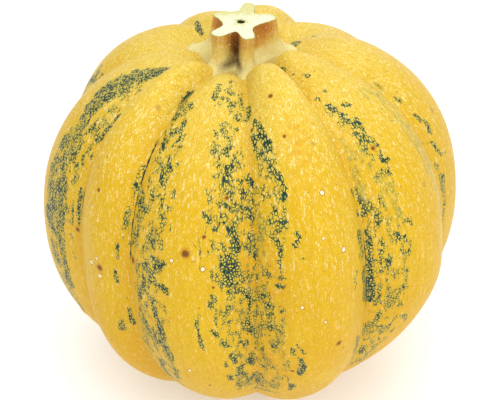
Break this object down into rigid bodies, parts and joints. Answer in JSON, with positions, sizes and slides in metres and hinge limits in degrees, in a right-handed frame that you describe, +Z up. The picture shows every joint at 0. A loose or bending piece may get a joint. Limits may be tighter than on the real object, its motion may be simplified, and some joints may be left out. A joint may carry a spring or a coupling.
{
  "type": "pumpkin",
  "caption": "Ribbed yellow pumpkin with dark green striped mottling and a cut star-shaped stem, standing on its blossom end.",
  "frame": {"origin": "on the resting surface, under the middle of the fruit", "axes": "+Z up from the blossom end to the stem; the front seen in the picture faces -Y"},
  "size_m": [0.2364, 0.2382, 0.2203],
  "materials": {
    "rind": "waxy satin rind, golden yellow with dark green net stripes",
    "stem": "dry fibrous stem with a pale fresh cut"
  },
  "bodies": {
    "root": {"fruit": "rind", "stem": "stem"}
  },
  "joints": []
}
